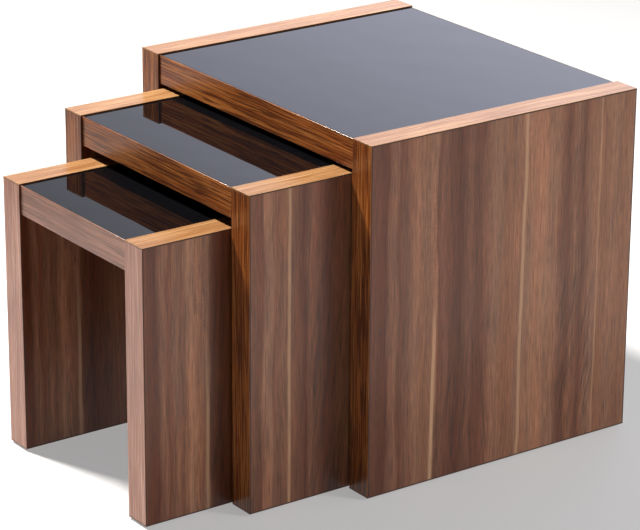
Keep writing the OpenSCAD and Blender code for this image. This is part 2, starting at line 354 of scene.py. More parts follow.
def walnutColour(tree, layout, across, along):
    # across and along are sockets in millimetres
    noise, swing, seed = walnut["noise"], walnut["swing"], layout["seed"]
    bend = centred(tree, layerNoise(tree, across, along, noise["bend"], seed), swing["bend"])
    swayed = calc(tree, "ADD", across, bend)
    drift = centred(tree, layerNoise(tree, swayed, along, noise["drift"], seed), swing["drift"])
    place = calc(tree, "DIVIDE", calc(tree, "ADD", swayed, drift), layout["width"])
    colour = colourRamp(tree, place, [(at / layout["width"], toneOf(name)) for at, name in layout["staves"]])

    # streaks from broad to hair-thin, then short dark pores
    streaks = {name: layerNoise(tree, swayed, along, noise[name], seed)
               for name in ("broad", "streak", "fibre")}
    fibre = streaks["fibre"]
    pores = smoothStep(tree, layerNoise(tree, swayed, along, noise["pores"], seed), *walnut["poreEdge"])
    blush = centred(tree, layerNoise(tree, swayed, along, noise["blush"], seed), swing["blush"])
    colour = mixColour(tree, calc(tree, "ADD", blush, 0.5, clamp=True),
                       brightenBy(tree, colour, walnut["cool"]), brightenBy(tree, colour, walnut["warm"]))
    shade = [centred(tree, layer, swing[name]) for name, layer in streaks.items()]
    shade.append(calc(tree, "MULTIPLY", pores, -walnut["poreDark"]))

    for number, flame in enumerate(layout["flames"]):
        # slanting dark figure inside one stave, strongest towards its foot
        leaning = calc(tree, "SUBTRACT", swayed, calc(tree, "MULTIPLY", along, flame["lean"]))
        figure = layerNoise(tree, leaning, along, noise["flame"], seed, number)
        figure = smoothStep(tree, figure, *walnut["flameEdge"])
        mask = bandMask(tree, swayed, flame["from"], flame["to"], walnut["flameSoft"])
        least = walnut["flameLeast"]
        foot = calc(tree, "MULTIPLY", smoothStep(tree, along, *flame["fade"]), 1 - least)
        depth = calc(tree, "MULTIPLY", calc(tree, "MULTIPLY", figure, mask), calc(tree, "ADD", foot, least))
        shade.append(calc(tree, "MULTIPLY", depth, -flame["strength"]))
    for number, fleck in enumerate(layout["flecks"]):
        # short pale ripples across the grain
        ripple = layerNoise(tree, across, along, noise["fleck"], seed, number)
        ripple = smoothStep(tree, ripple, *walnut["fleckEdge"])
        softAcross, softAlong = walnut["fleckSoft"]
        mask = calc(tree, "MULTIPLY", bandMask(tree, swayed, fleck["from"], fleck["to"], softAcross),
                    bandMask(tree, along, fleck["low"], fleck["high"], softAlong))
        shade.append(calc(tree, "MULTIPLY", calc(tree, "MULTIPLY", ripple, mask), fleck["strength"]))
    colour = brighten(tree, colour, addUp(tree, shade + [1.0]))

    for number, thread in enumerate(layout["threads"]):
        # a pale sapwood line that leans and wanders a little, and may fade out up the board
        wander = layerNoise(tree, across, along, noise["wander"], seed, number)
        wander = centred(tree, wander, 2.0 * thread["wander"])
        centre = addUp(tree, [across, wander, calc(tree, "MULTIPLY", along, -thread["lean"])])
        half = thread["width"] / 2
        mask = bandMask(tree, centre, thread["at"] - half, thread["at"] + half, walnut["threadSoft"])
        patchy = centred(tree, layerNoise(tree, across, along, noise["patch"], seed), swing["patch"])
        patchy = calc(tree, "ADD", patchy, walnut["patchMean"])
        mask = calc(tree, "MULTIPLY", calc(tree, "MULTIPLY", mask, patchy), thread["strength"])
        if thread["fade"]:
            mask = calc(tree, "MULTIPLY", mask, smoothStep(tree, along, *thread["fade"]))
        colour = mixColour(tree, mask, colour, toneOf("cream"))
    return colour, fibre, pores


def finishLaminate(tree, shader, colour, fibre, pores):
    rough = addUp(tree, [centred(tree, fibre, walnut["fibreRoughness"]),
                         calc(tree, "MULTIPLY", pores, walnut["poreRoughness"]), walnut["roughness"]])
    setLook(tree, shader, colour, rough)
    addBump(tree, shader, calc(tree, "SUBTRACT", fibre, pores), *walnut["bump"])


def walnutPanelMaterial(table):
    # The right panel's outer face carries the print as listed. Every other face takes another stretch of it.
    layout = walnutPrints[table]
    material, tree, shader = newMaterial(table + "WalnutLaminate", IOR=walnut["ior"])
    x, y, z = objectAxes(tree)
    middle = (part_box(table + "_left_panel")[0].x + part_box(table + "_right_panel")[1].x) / 2 / mm
    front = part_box(table + "_left_front_edging")[0].y / mm
    isRight = calc(tree, "GREATER_THAN", x, middle)
    isLeft = calc(tree, "SUBTRACT", 1.0, isRight)
    facesRight = calc(tree, "GREATER_THAN", faceNormal(tree)[0], 0.0)
    facesLeft = calc(tree, "SUBTRACT", 1.0, facesRight)
    shifts = []
    for board, facing, name in ((isRight, facesLeft, "innerRight"), (isLeft, facesRight, "innerLeft"),
                                (isLeft, facesLeft, "outerLeft")):
        shifts.append(calc(tree, "MULTIPLY", calc(tree, "MULTIPLY", board, facing), walnut["starts"][name]))
    fromStart = calc(tree, "ADD", calc(tree, "SUBTRACT", y, front), addUp(tree, shifts))
    across = calc(tree, "WRAP", fromStart, layout["width"])
    colour, fibre, pores = walnutColour(tree, layout, across, z)
    finishLaminate(tree, shader, colour, fibre, pores)
    return material


def walnutTopMaterial(table):
    # the underside of a top, with its grain running from side to side
    layout = walnutPrints[table]
    material, tree, shader = newMaterial(table + "TopBoardLaminate", IOR=walnut["ior"])
    x, y = objectAxes(tree)[:2]
    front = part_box(table + "_left_front_edging")[0].y / mm
    fromStart = calc(tree, "ADD", calc(tree, "SUBTRACT", y, front), walnut["starts"]["topAcross"])
    across = calc(tree, "WRAP", fromStart, layout["width"])
    along = calc(tree, "ADD", x, walnut["starts"]["topAlong"])
    colour, fibre, pores = walnutColour(tree, layout, across, along)
    # raw chipboard in the bores and wherever the face isn't level
    level = calc(tree, "GREATER_THAN", calc(tree, "ABSOLUTE", faceNormal(tree)[2]), 0.5)
    chips = addNode(tree, "ShaderNodeTexVoronoi")
    feed(tree, chips.inputs["Vector"], addNode(tree, "ShaderNodeTexCoord").outputs["Object"])
    feed(tree, chips.inputs["Scale"], chipboard["scale"])
    chipStops = [(at, linear(tone)) for at, tone in chipboard["tones"]]
    chipColour = colourRamp(tree, chips.outputs["Distance"], chipStops)
    finishLaminate(tree, shader, mixColour(tree, level, chipColour, colour), fibre, pores)
    return material


# Zebrano-effect edging
zebrano = {
    "ior": 1.5,
    "roughness": (0.08, 0.25),      # swing and middle
    "bump": (0.04 * mm, 0.7),
    # the edging's tones from dark grain to light, and the tone of its thin lines, in four copies: the first
    # is the edging's own colour, the other three are paler copies with painted light, one for the strong
    # light on the top strips and two for the extra light and sheen on the small table's front
    "tones": {
        "deep": [(112, 56, 20), (134, 70, 27), (150, 85, 35), (160, 97, 44), (172, 111, 56)],
        "plain": [(121, 84, 51), (133, 95, 60), (143, 106, 69), (152, 116, 79), (162, 127, 90)],
        "rose": [(122, 72, 50), (134, 83, 60), (144, 92, 69), (153, 102, 79), (163, 113, 90)],
        "pale": [(150, 96, 74), (162, 107, 84), (172, 118, 95), (181, 129, 106), (190, 140, 118)],
    },
    "toneStops": (0.24, 0.38, 0.50, 0.64, 0.80),
    "lineTones": {"deep": (74, 34, 12), "plain": (116, 77, 44), "rose": (108, 64, 44),
                  "pale": (138, 88, 70)},
    # how many to the millimetre, how thick as a share, how dark, seed
    "lines": [(0.23, 0.066, 0.88, 9.0), (0.52, 0.075, 0.55, 14.0)],
    "lineAlong": 0.0045,
    "lineCore": 0.35,
    # layers as layerNoise takes them
    "noise": {
        "sway": (0.01, 0.005, 1.5, 1.0),
        "wide": (0.11, 0.0022, 4.0),
        "fine": (1.1, 0.018, 7.0, 2.0, 0.6),
        "pores": (1.5, 0.06, 11.0),
    },
    "sway": 6.0,                    # millimetres
    "shares": (0.55, 0.45),         # of wide and fine grain
    "contrast": 1.9,
    "middle": 0.54,
    "poreEdge": (0.60, 0.72),
    "poreDark": 0.16,
    # painted shade on the strips' cut sides: a dark tone for the shadowed gaps beside the strips, lightened
    # in soft patches
    "side": (48, 28, 18),
    "sideLighter": 1.25,
    "sidePatches": (0.5, 0.5, 2.0, 3.0),
    "sideRoughness": (0.1, 0.5),
}


def zebranoMaterial(shadeName):
    # the strip's own UV map gives metres across and along its grain
    noise = zebrano["noise"]
    material, tree, shader = newMaterial(shadeName + "ZebranoEdging", IOR=zebrano["ior"])
    split = addNode(tree, "ShaderNodeSeparateXYZ")
    feed(tree, split.inputs[0], addNode(tree, "ShaderNodeUVMap", uv_map="grain").outputs[0])
    across, along = (calc(tree, "MULTIPLY", axis, 1 / mm) for axis in split.outputs[:2])
    sway = centred(tree, layerNoise(tree, across, along, noise["sway"]), zebrano["sway"])
    swayed = calc(tree, "ADD", across, sway)
    fine = layerNoise(tree, swayed, along, noise["fine"])
    grain = zip((layerNoise(tree, swayed, along, noise["wide"]), fine), zebrano["shares"])
    mixed = addUp(tree, [calc(tree, "MULTIPLY", layer, share) for layer, share in grain])
    spread = calc(tree, "MULTIPLY", calc(tree, "SUBTRACT", mixed, 0.5), zebrano["contrast"])
    stops = [(at, linear(tone)) for at, tone in zip(zebrano["toneStops"], zebrano["tones"][shadeName])]
    colour = colourRamp(tree, calc(tree, "ADD", spread, zebrano["middle"]), stops)
    pores = smoothStep(tree, layerNoise(tree, swayed, along, noise["pores"]), *zebrano["poreEdge"])
    dark = calc(tree, "MULTIPLY", pores, zebrano["poreDark"])
    colour = brighten(tree, colour, calc(tree, "SUBTRACT", 1.0, dark))
    lineTone = linear(zebrano["lineTones"][shadeName])
    for perAcross, thickness, depth, seed in zebrano["lines"]:
        # thin lines run where a slow noise crosses its middle, as growth rings do
        rings = grainNoise(tree, swayed, along, perAcross, zebrano["lineAlong"], seed)
        rings = calc(tree, "ABSOLUTE", calc(tree, "SUBTRACT", rings, 0.5))
        line = smoothStep(tree, rings, thickness, thickness * zebrano["lineCore"])
        colour = mixColour(tree, calc(tree, "MULTIPLY", line, depth), colour, lineTone)
    setLook(tree, shader, colour, swung(tree, fine, *zebrano["roughness"]))
    addBump(tree, shader, calc(tree, "SUBTRACT", fine, pores), *zebrano["bump"])
    return material


def edgingSideMaterial():
    # the cut side of a strip, painted darker than its face as shade for the shadowed gaps beside the strips,
    # lighter in soft patches
    material, tree, shader = newMaterial("edgingCutSide", IOR=zebrano["ior"])
    x, y, z = objectAxes(tree)
    patches = layerNoise(tree, addUp(tree, [x, y]), z, zebrano["sidePatches"])
    colour = lightened(tree, patches, zebrano["side"], zebrano["sideLighter"])
    setLook(tree, shader, colour, swung(tree, patches, *zebrano["sideRoughness"]))
    return material


# Black glass, metal, beech and plastic
glassFinish = {
    "ior": 1.42,
    "clean": (0.0012, 0.0012, 0.0016, 1),
    "smeared": (0.0028, 0.0028, 0.0034, 1),
    "smear": (0.030, 0.012, 8.0, 4.0, 0.6),
    "roughness": 0.01,
    "smearRoughness": 0.03,
    "ripple": (0.010, 0.014, 5.0, 1.0),
    "bump": (0.25 * mm, 0.5),
}
zinc = {
    "dark": (0.42, 0.42, 0.44, 1),
    "light": (0.68, 0.67, 0.64, 1),
    "mottle": (0.6, 0.6, 1.0, 4.0, 0.6),
    "roughness": 0.25,
    "mottleRoughness": 0.2,
}
beech = {
    "dark": (176, 128, 84),
    "light": (222, 184, 138),
    "fibre": (1.2, 0.06, 3.0, 3.0, 0.6),
    "roughness": (0.08, 0.65),      # swing and middle
    "bump": 0.05 * mm,
}
plastic = {
    "ior": 1.46,
    "capTone": (74, 48, 36),
    "glideTone": (38, 37, 38),
    "lighter": 1.2,
    "grain": (2.2, 2.2, 6.0),
    "roughness": (0.08, 0.52),      # swing and middle
    "bump": 0.03 * mm,
}


def blackGlassMaterial():
    material, tree, shader = newMaterial("blackGlass", IOR=glassFinish["ior"])
    x, y = objectAxes(tree)[:2]
    ripple = layerNoise(tree, x, y, glassFinish["ripple"])
    smear = layerNoise(tree, x, y, glassFinish["smear"])
    rough = calc(tree, "MULTIPLY", smear, glassFinish["smearRoughness"])
    rough = calc(tree, "ADD", rough, glassFinish["roughness"])
    setLook(tree, shader, mixColour(tree, smear, glassFinish["clean"], glassFinish["smeared"]), rough)
    addBump(tree, shader, ripple, *glassFinish["bump"])
    return material


def zincMaterial():
    material, tree, shader = newMaterial("zincPlate", Metallic=1.0)
    x, y, z = objectAxes(tree)
    mottle = layerNoise(tree, addUp(tree, [x, z]), y, zinc["mottle"])
    rough = calc(tree, "ADD", calc(tree, "MULTIPLY", mottle, zinc["mottleRoughness"]), zinc["roughness"])
    setLook(tree, shader, mixColour(tree, mottle, zinc["dark"], zinc["light"]), rough)
    return material


def beechMaterial():
    material, tree, shader = newMaterial("beechDowel")
    x, y, z = objectAxes(tree)
    fibre = layerNoise(tree, addUp(tree, [y, z]), x, beech["fibre"])
    colour = mixColour(tree, fibre, linear(beech["dark"]), linear(beech["light"]))
    setLook(tree, shader, colour, swung(tree, fibre, *beech["roughness"]))
    addBump(tree, shader, fibre, beech["bump"])
    return material


def plasticMaterial(name, tone):
    material, tree, shader = newMaterial(name, IOR=plastic["ior"])
    x, y, z = objectAxes(tree)
    grain = layerNoise(tree, addUp(tree, [x, z]), addUp(tree, [y, z]), plastic["grain"])
    colour = lightened(tree, grain, tone, plastic["lighter"])
    setLook(tree, shader, colour, swung(tree, grain, *plastic["roughness"]))
    addBump(tree, shader, grain, plastic["bump"])
    return material


zebranoEdging = {shadeName: zebranoMaterial(shadeName) for shadeName in zebrano["tones"]}
edgingCutSide = edgingSideMaterial()
blackGlass = blackGlassMaterial()
zincPlate = zincMaterial()
beechDowel = beechMaterial()
capPlastic = plasticMaterial("capPlastic", plastic["capTone"])
glidePlastic = plasticMaterial("glidePlastic", plastic["glideTone"])
print("Materials made:", len(bpy.data.materials))


# Boards and cams keep their CAD shapes and get their finish here
def coatNode(node, material):
    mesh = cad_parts[node].data
    mesh.materials.clear()
    mesh.materials.append(material)


for table in tableNames:
    panelLaminate = walnutPanelMaterial(table)
    for side in sideNames:
        coatNode(f"{table}_{side}_panel", panelLaminate)
    coatNode(f"{table}_top_board", walnutTopMaterial(table))
    coatNode(f"{table}_cam_locks", zincPlate)
print("Boards and cams finished")


# Edging strips
edging = {
    "outerRound": 0.7 * mm,   # radius along the two long outer edges
    "arris": 0.12 * mm,       # every other edge
    "roundSteps": 3,
    "tile": 0.19,             # how far apart the strips are cut from the sheet, in metres
    # top strips take the copy with painted top light, the small table's front the copies with painted extra
    # light and sheen, and the rest the edging's own colour
    "shades": {"small_left_front_edging": "pale", "small_right_front_edging": "pale",
               "small_top_front_edging": "rose"},
    # how squarely a face looks outwards to be printed, softly shaded or flat, or along to be an end
    "printedFrom": 0.35,
    "endFrom": 0.7,
    "softFrom": 0.05,
    "flatFrom": 0.999,
}


def makeObject(name, vertices, faces, materials):
    mesh = bpy.data.meshes.new(name)
    mesh.from_pydata([tuple(v) for v in vertices], [], faces)
    for material in materials:
        mesh.materials.append(material)
    piece = bpy.data.objects.new(name, mesh)
    bpy.context.scene.collection.objects.link(piece)
    return piece


def roundedOutline(width, thickness, radius, arris, steps):
    # a strip's section: width across, thickness outwards, round at its two outer corners
    half = width / 2
    points = [(-half + arris, 0.0), (half - arris, 0.0), (half, arris)]
    for corner in (1, -1):
        centreX, centreY = corner * (half - radius), thickness - radius
        for step in range(steps + 1):
            angle = math.radians(90 * step / steps if corner > 0 else 90 + 90 * step / steps)
            points.append((centreX + radius * math.cos(angle), centreY + radius * math.sin(angle)))
    points.append((-half, arris))
    return points


def edgingStrip(name, node, outward, along, number, shadeName):
    # outward is the direction that the strip's face looks, along the way its grain runs
    low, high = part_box(node)
    centre = (low + high) / 2
    outward, along = Vector(outward), Vector(along)
    across = outward.cross(along)
    size = high - low
    width, thickness, length = (abs(size.dot(axis)) for axis in (across, outward, along))
    outline = roundedOutline(width, thickness, edging["outerRound"], edging["arris"], edging["roundSteps"])
    inset = edging["arris"]
    rings = [(-length / 2, inset), (-length / 2 + inset, 0.0), (length / 2 - inset, 0.0), (length / 2, inset)]
    vertices = []
    for station, shrink in rings:
        for a, b in outline:
            a = max(min(a, width / 2 - shrink), shrink - width / 2)
            b = max(min(b, thickness - shrink), shrink)
            vertices.append(centre + across * a + outward * (b - thickness / 2) + along * station)
    count = len(outline)
    faces = [list(reversed(range(count))), [count * 3 + i for i in range(count)]]
    for ring in range(3):
        for i in range(count):
            j = (i + 1) % count
            faces.append([count * ring + i, count * ring + j, count * (ring + 1) + j, count * (ring + 1) + i])
    strip = makeObject(name, vertices, faces, [zebranoEdging[shadeName], edgingCutSide])
    mesh = strip.data
    mesh.update()
    grain = mesh.uv_layers.new(name="grain")
    for face in mesh.polygons:
        looksOut = face.normal.dot(outward)
        isEnd = abs(face.normal.dot(along)) > edging["endFrom"]
        face.material_index = 0 if looksOut > edging["printedFrom"] or isEnd else 1
        face.use_smooth = edging["softFrom"] < looksOut < edging["flatFrom"]
        for corner in face.loop_indices:
            point = mesh.vertices[mesh.loops[corner].vertex_index].co - centre
            grain.data[corner].uv = (point.dot(across) + edging["tile"] * number, point.dot(along))
    return strip


# the strips of one side panel and of the top: where the face looks and which way the grain runs
sideStrips = {
    "front": ((0, -1, 0), (0, 0, 1)),
    "rear": ((0, 1, 0), (0, 0, 1)),
    "top": ((0, 0, 1), (0, 1, 0)),
    "bottom": ((0, 0, -1), (0, 1, 0)),
}
topStrips = {"front": ((0, -1, 0), (1, 0, 0)), "rear": ((0, 1, 0), (1, 0, 0))}
number = 0
for table in tableNames:
    body = table + "_table"
    strips = []
    for side in sideNames:
        strips += [(f"{table}_{side}_{edge}_edging", *ways) for edge, ways in sideStrips.items()]
    strips += [(f"{table}_top_{edge}_edging", *ways) for edge, ways in topStrips.items()]
    for node, outward, along in strips:
        number += 1
        # the side panels' top strips get the copy with painted top light, the small table's front the copies
        # with painted extra light and sheen
        shadeName = "plain" if "_top_edging" in node else edging["shades"].get(node, "deep")
        strip = edgingStrip(node + "_strip", node, outward, along, number, shadeName)
        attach(strip, body)
        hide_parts(node)
print("Edging strips made:", number)


# Glass tops
glass = {"arris": 0.2 * mm}


def glassPane(name, node):
    # a pane with its ground arris as a narrow flat all round, top and bottom
    low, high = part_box(node)
    arris = glass["arris"]
    levels = [(low.z, arris), (low.z + arris, 0.0), (high.z - arris, 0.0), (high.z, arris)]
    vertices = []
    for z, inset in levels:
        vertices += [(low.x + inset, low.y + inset, z), (high.x - inset, low.y + inset, z),
                     (high.x - inset, high.y - inset, z), (low.x + inset, high.y - inset, z)]
    faces = [[3, 2, 1, 0], [12, 13, 14, 15]]
    for level in range(3):
        for i in range(4):
            j = (i + 1) % 4
            faces.append([4 * level + i, 4 * level + j, 4 * level + 4 + j, 4 * level + 4 + i])
    return makeObject(name, vertices, faces, [blackGlass])


for table in tableNames:
    pane = glassPane(table + "_top_pane", table + "_top_glass")
    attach(pane, table + "_table")
    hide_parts(table + "_top_glass")
print("Glass made")


# Fittings: bolts, dowels, cam caps and glides, in millimetres
bolt = {
    # a lathed section from the thread's tip to the head: distance along the bolt and radius
    "section": [(-11, 0), (-11, 0.7), (-9, 1.8), (0, 1.9), (0, 3.3), (0.3, 3.5), (2.7, 3.5), (3, 3.0),
                (16, 3.0), (16.5, 1.8), (23, 1.8), (23, 3.0), (23.6, 3.5), (26.2, 3.5), (27, 2.7), (27, 0)],
    "threadFrom": -9.6,
    "threadLength": 9.0,
    "threadTurns": 4.5,
    "threadRadius": 1.92,
    "threadSize": 0.56,
    "threadSteps": 28,      # along one turn
    "threadCorners": 4,
    "segments": 32,
    "inPanel": 11.0,        # from the bolt's tip to the panel's face
    "radius": 3.5,
}
dowel = {
    "length": 35.0,
    "inPanel": 14.0,
    "radius": 4.0,
    "flutes": 18,
    "fluteDepth": 0.28,
    "chamfer": 1.4,
    "endScale": 0.72,
    "stations": 71,
}
cap = {
    # from the disc's underside up to where it meets the board
    "section": [(0, 0), (0, 8.4), (0.15, 8.8), (0.45, 9.0), (1.0, 9.0), (1.0, 0)],
    "armLength": 7.7,
    "armWidth": 1.5,
    "segments": 48,
    "radius": 9.0,
}
glide = {
    # from the floor up to the panel
    "section": [(0, 0), (0, 9.6), (0.3, 10.3), (0.8, 11.0), (2.6, 11.0), (3.0, 10.6), (3.0, 0)],
    "nail": [(2.9, 0), (2.9, 1.0), (17.0, 1.0), (18.8, 0.15), (19.0, 0)],
    "segments": 48,
    "nailSegments": 20,
    "radius": 11.0,
}


def lathe(section, segments, alongX=False):
    # turns a section of (distance, radius) pairs round the Z or X axis; a zero radius is a single point
    rings, vertices, faces = [], [], []
    for distance, radius in section:
        count = segments if radius > 0 else 1
        rings.append([len(vertices) + k for k in range(count)])
        for k in range(count):
            angle = 2 * math.pi * k / segments
            point = (radius * math.cos(angle), radius * math.sin(angle), distance)
            point = (point[2], point[0], point[1]) if alongX else point
            vertices.append(tuple(c * mm for c in point))
    for lower, upper in zip(rings, rings[1:]):
        for k in range(segments):
            corners = [lower[k % len(lower)], lower[(k + 1) % len(lower)],
                       upper[(k + 1) % len(upper)], upper[k % len(upper)]]
            corners = [c for i, c in enumerate(corners) if c not in corners[:i]]
            if len(corners) > 2:
                faces.append(corners)
    return vertices, faces


def crossStub(length, width, low, high):
    # two crossed bars as one outline drawn up from low to high
    a, b = length / 2, width / 2
    outline = [(a, -b), (a, b), (b, b), (b, a), (-b, a), (-b, b), (-a, b), (-a, -b), (-b, -b), (-b, -a),
               (b, -a), (b, -b)]
    count = len(outline)
    vertices = [(x * mm, y * mm, z) for z in (low, high) for x, y in outline]
    faces = [list(reversed(range(count))), [count + i for i in range(count)]]
    for i in range(count):
        j = (i + 1) % count
        faces.append([i, j, count + j, count + i])
    return vertices, faces


def joinShapes(shapes):
    vertices, faces = [], []
    for shapeVertices, shapeFaces in shapes:
        start = len(vertices)
        vertices += shapeVertices
        faces += [[start + corner for corner in face] for face in shapeFaces]
    return vertices, faces


def shapeOf(mesh):
    return [tuple(vertex.co) for vertex in mesh.vertices], [list(face.vertices) for face in mesh.polygons]


def newTree(name, inputs):
    # a Geometry Nodes tree with named inputs; returns it with its input node's outputs
    tree = bpy.data.node_groups.new(name, "GeometryNodeTree")
    tree.interface.new_socket("Geometry", in_out="INPUT", socket_type="NodeSocketGeometry")
    for label, kind in inputs:
        tree.interface.new_socket(label, in_out="INPUT", socket_type="NodeSocket" + kind)
    tree.interface.new_socket("Geometry", in_out="OUTPUT", socket_type="NodeSocketGeometry")
    return tree, addNode(tree, "NodeGroupInput").outputs


def endTree(tree, geometry, given):
    realized = addNode(tree, "GeometryNodeRealizeInstances")
    feed(tree, realized.inputs["Geometry"], geometry)
    coated = addNode(tree, "GeometryNodeSetMaterial")
    feed(tree, coated.inputs["Geometry"], realized.outputs[0])
    feed(tree, coated.inputs["Material"], given["Material"])
    feed(tree, addNode(tree, "NodeGroupOutput").inputs[0], coated.outputs[0])


def threadTree():
    inputs = [(label, "Float") for label in ("Turns", "Radius", "Length", "Thread Size", "Start")]
    tree, given = newTree("helicalThread", inputs + [("Material", "Material")])
    spiral = addNode(tree, "GeometryNodeCurveSpiral")
    spiral.inputs["Resolution"].default_value = bolt["threadSteps"]
    feed(tree, spiral.inputs["Rotations"], given["Turns"])
    feed(tree, spiral.inputs["Start Radius"], given["Radius"])
    feed(tree, spiral.inputs["End Radius"], given["Radius"])
    feed(tree, spiral.inputs["Height"], given["Length"])
    section = addNode(tree, "GeometryNodeCurvePrimitiveCircle", mode="RADIUS")
    section.inputs["Resolution"].default_value = bolt["threadCorners"]
    feed(tree, section.inputs["Radius"], given["Thread Size"])
    swept = addNode(tree, "GeometryNodeCurveToMesh")
    feed(tree, swept.inputs["Curve"], spiral.outputs["Curve"])
    feed(tree, swept.inputs["Profile Curve"], section.outputs["Curve"])
    swept.inputs["Fill Caps"].default_value = True
    moved = addNode(tree, "GeometryNodeTransform")
    feed(tree, moved.inputs["Geometry"], swept.outputs["Mesh"])
    moved.inputs["Rotation"].default_value = (0, math.pi / 2, 0)
    offset = addNode(tree, "ShaderNodeCombineXYZ")
    feed(tree, offset.inputs[0], given["Start"])
    feed(tree, moved.inputs["Translation"], offset.outputs[0])
    endTree(tree, moved.outputs[0], given)
    return tree


def dowelTree():
    # a star section drawn along a line, narrowing over the chamfer at each end
    tree, given = newTree("flutedDowel", [("Length", "Float"), ("Start", "Float"), ("Radius", "Float"),
                                          ("Flute Depth", "Float"), ("Flutes", "Int"), ("Chamfer", "Float"),
                                          ("Stations", "Int"), ("Material", "Material")])
    line = addNode(tree, "GeometryNodeCurvePrimitiveLine")
    ends = []
    for value in (given["Start"], calc(tree, "ADD", given["Start"], given["Length"])):
        place = addNode(tree, "ShaderNodeCombineXYZ")
        feed(tree, place.inputs[0], value)
        ends.append(place.outputs[0])
    feed(tree, line.inputs["Start"], ends[0])
    feed(tree, line.inputs["End"], ends[1])
    stations = addNode(tree, "GeometryNodeResampleCurve")
    feed(tree, stations.inputs["Curve"], line.outputs["Curve"])
    feed(tree, stations.inputs["Count"], given["Stations"])
    star = addNode(tree, "GeometryNodeCurveStar")
    feed(tree, star.inputs["Points"], given["Flutes"])
    feed(tree, star.inputs["Outer Radius"], given["Radius"])
    feed(tree, star.inputs["Inner Radius"], calc(tree, "SUBTRACT", given["Radius"], given["Flute Depth"]))
    along = addNode(tree, "GeometryNodeSplineParameter").outputs["Length"]
    toEnd = calc(tree, "MINIMUM", along, calc(tree, "SUBTRACT", given["Length"], along))
    share = calc(tree, "DIVIDE", toEnd, given["Chamfer"], clamp=True)
    swept = addNode(tree, "GeometryNodeCurveToMesh")
    feed(tree, swept.inputs["Curve"], stations.outputs["Curve"])
    feed(tree, swept.inputs["Profile Curve"], star.outputs["Curve"])
    grown = calc(tree, "MULTIPLY", share, 1 - dowel["endScale"])
    feed(tree, swept.inputs["Scale"], calc(tree, "ADD", grown, dowel["endScale"]))
    swept.inputs["Fill Caps"].default_value = True
    endTree(tree, swept.outputs["Mesh"], given)
    return tree


def repeatTree():
    # stands one copy of a piece at every point, turned by that point's own turn
    tree, given = newTree("repeatAtPoints", [("Piece", "Object"), ("Material", "Material")])
    piece = addNode(tree, "GeometryNodeObjectInfo", transform_space="ORIGINAL")
    feed(tree, piece.inputs["Object"], given["Piece"])
    turn = addNode(tree, "GeometryNodeInputNamedAttribute", data_type="FLOAT")
    turn.inputs["Name"].default_value = "turn"
    rotation = addNode(tree, "ShaderNodeCombineXYZ")
    feed(tree, rotation.inputs[2], turn.outputs["Attribute"])
    copies = addNode(tree, "GeometryNodeInstanceOnPoints")
    feed(tree, copies.inputs["Points"], given["Geometry"])
    feed(tree, copies.inputs["Instance"], piece.outputs["Geometry"])
    feed(tree, copies.inputs["Rotation"], rotation.outputs[0])
    endTree(tree, copies.outputs[0], given)
    return tree


def bakeTree(name, tree, values, points=()):
    # runs a tree on a points mesh, given as (x, y, z, turn), and keeps the plain mesh that comes out
    base = makeObject(name + "_points", [point[:3] for point in points], [], [])
    turns = base.data.attributes.new("turn", "FLOAT", "POINT")
    for entry, point in zip(turns.data, points):
        entry.value = point[3]
    modifier = base.modifiers.new(tree.name, "NODES")
    modifier.node_group = tree
    for item in tree.interface.items_tree:
        if item.in_out == "INPUT" and item.name in values:
            modifier[item.identifier] = values[item.name]
    evaluated = base.evaluated_get(bpy.context.evaluated_depsgraph_get())
    mesh = bpy.data.meshes.new_from_object(evaluated)
    mesh.name = name
    bpy.data.objects.remove(base)
    return mesh


def shadeSmooth(mesh, sharpFrom=38):
    # faces that meet at more than sharpFrom degrees keep a sharp edge
    for face in mesh.polygons:
        face.use_smooth = True
    mesh.set_sharp_from_angle(angle=math.radians(sharpFrom))


def templateObject(name, shape, material):
    piece = makeObject(name, shape[0], shape[1], [material])
    shadeSmooth(piece.data)
    return piece


def fittingPlaces(node, xInset, yInset, rows, level):
    # where the copies stand, read from the CAD node's box; the right side's copies are turned to face left
    low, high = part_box(node)
    z = low.z + level * (high.z - low.z)
    span = high.y - low.y - 2 * yInset * mm
    ys = [low.y + yInset * mm + span * row / (rows - 1) for row in range(rows)]
    ends = ((low.x + xInset * mm, 0.0), (high.x - xInset * mm, math.pi))
    return [(x, y, z, turn) for y in ys for x, turn in ends]


thread = bakeTree("boltThread", threadTree(), {
    "Turns": bolt["threadTurns"], "Radius": bolt["threadRadius"] * mm, "Length": bolt["threadLength"] * mm,
    "Thread Size": bolt["threadSize"] * mm, "Start": bolt["threadFrom"] * mm, "Material": zincPlate})
boltShape = joinShapes([lathe(bolt["section"], bolt["segments"], alongX=True), shapeOf(thread)])
dowelShape = shapeOf(bakeTree("dowelBody", dowelTree(), {
    "Length": dowel["length"] * mm, "Start": -dowel["inPanel"] * mm, "Radius": dowel["radius"] * mm,
    "Flute Depth": dowel["fluteDepth"] * mm, "Flutes": dowel["flutes"], "Chamfer": dowel["chamfer"] * mm,
    "Stations": dowel["stations"], "Material": beechDowel}))
capLow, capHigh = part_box("large_cam_caps")
stub = crossStub(cap["armLength"], cap["armWidth"], cap["section"][-1][0] * mm, capHigh.z - capLow.z)
capShape = joinShapes([lathe(cap["section"], cap["segments"]), stub])
